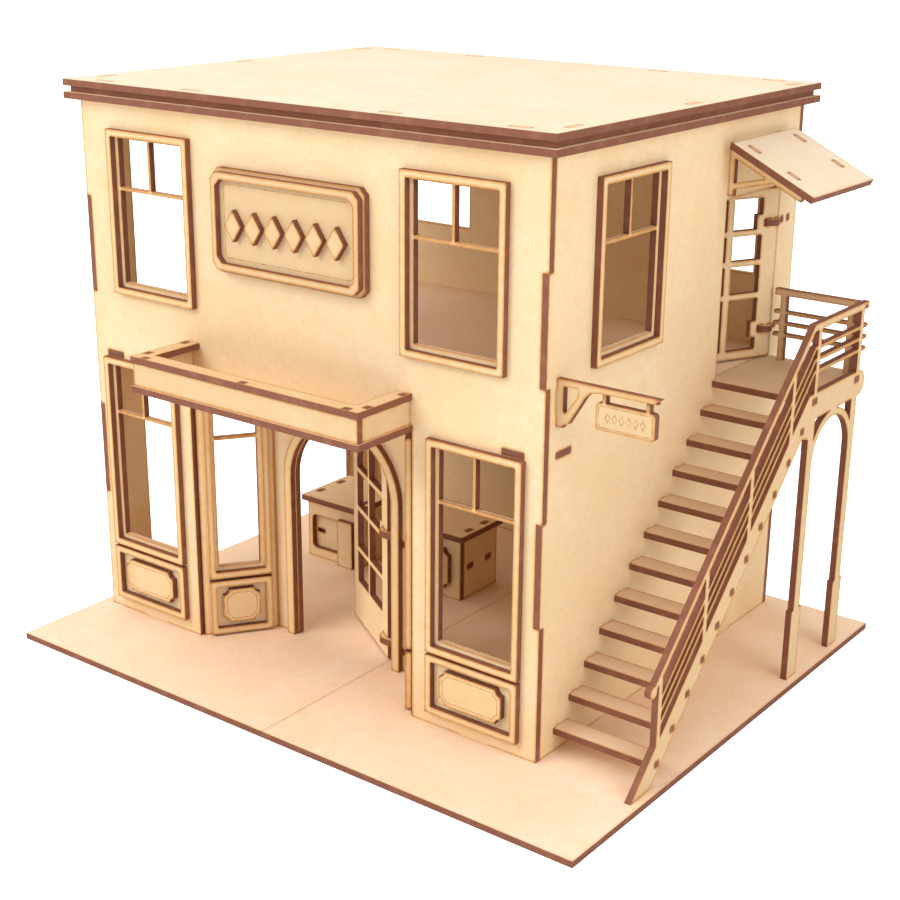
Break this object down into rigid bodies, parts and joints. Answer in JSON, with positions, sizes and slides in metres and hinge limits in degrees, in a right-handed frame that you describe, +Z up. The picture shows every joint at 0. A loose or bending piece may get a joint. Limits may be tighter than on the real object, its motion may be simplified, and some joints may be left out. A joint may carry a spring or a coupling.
{
  "type": "two-storey wooden shop building for table-top games",
  "caption": "Laser-cut wooden two-storey shop for table-top games, with a recessed arched doorway, canopy, outside stairs, awning and two opening doors.",
  "frame": {"origin": "middle of the underside of the base", "axes": "+Z up, +X along the shop front towards the stairs, +Y from the shop front to the back"},
  "size_m": [0.3274, 0.274, 0.272],
  "materials": {
    "wood_sheet": "bare fibreboard with burnt cut edges",
    "wood_trim": "bare fibreboard with burnt cut edges",
    "roof_sheet": "bare fibreboard with burnt cut edges",
    "base_sheet": "bare fibreboard with burnt cut edges"
  },
  "bodies": {
    "building": {"angled_panel_frames": "wood_trim", "angled_plaques": "wood_trim", "angled_wall_left": "wood_sheet", "angled_wall_right": "wood_sheet", "angled_window_frames": "wood_trim", "arch_trim": "wood_trim", "arch_wall": "wood_sheet", "awning_brackets": "wood_sheet", "awning_plate": "wood_sheet", "back_wall": "wood_sheet", "base_left": "base_sheet", "base_right": "base_sheet", "canopy_cap": "wood_sheet", "canopy_front_board": "wood_sheet", "canopy_side_boards": "wood_sheet", "first_floor": "wood_sheet", "front_door_plates": "wood_sheet", "front_wall": "wood_sheet", "hanging_sign": "wood_sheet", "landing": "wood_sheet", "landing_back_rail": "wood_sheet", "left_counter_ends": "wood_sheet", "left_counter_front": "wood_sheet", "left_counter_panel": "wood_trim", "left_counter_plate": "wood_trim", "left_counter_top": "wood_sheet", "left_wall": "wood_sheet", "lower_panel_frames": "wood_trim", "lower_plaques": "wood_trim", "lower_window_frames": "wood_trim", "right_counter_ends": "wood_sheet", "right_counter_front": "wood_sheet", "right_counter_plaque": "wood_trim", "right_counter_shelf": "wood_sheet", "right_counter_top": "wood_sheet", "right_wall": "wood_sheet", "roof_lower": "roof_sheet", "roof_middle": "roof_sheet", "roof_top": "roof_sheet", "side_door_plates": "wood_sheet", "side_window_frame": "wood_trim", "sign_back_plate": "wood_sheet", "sign_ornament": "wood_trim", "sign_ring": "wood_trim", "stair_side_panel": "wood_sheet", "stair_treads": "wood_sheet", "upper_window_frames": "wood_trim"},
    "front_door": {"front_door_leaf": "wood_sheet"},
    "side_door": {"side_door_leaf": "wood_sheet"}
  },
  "joints": [
    {"name": "front_door_hinge", "type": "hinge", "parent": "building", "child": "front_door", "pos_m": [-0.00415, -0.04465, 0.033], "axis": [0, 0, -1], "range_deg": [-32.4, 57.6]},
    {"name": "side_door_hinge", "type": "hinge", "parent": "building", "child": "side_door", "pos_m": [0.1088, 0.1058, 0.183], "axis": [0, 0, -1], "range_deg": [-26.5, 63.5]}
  ]
}
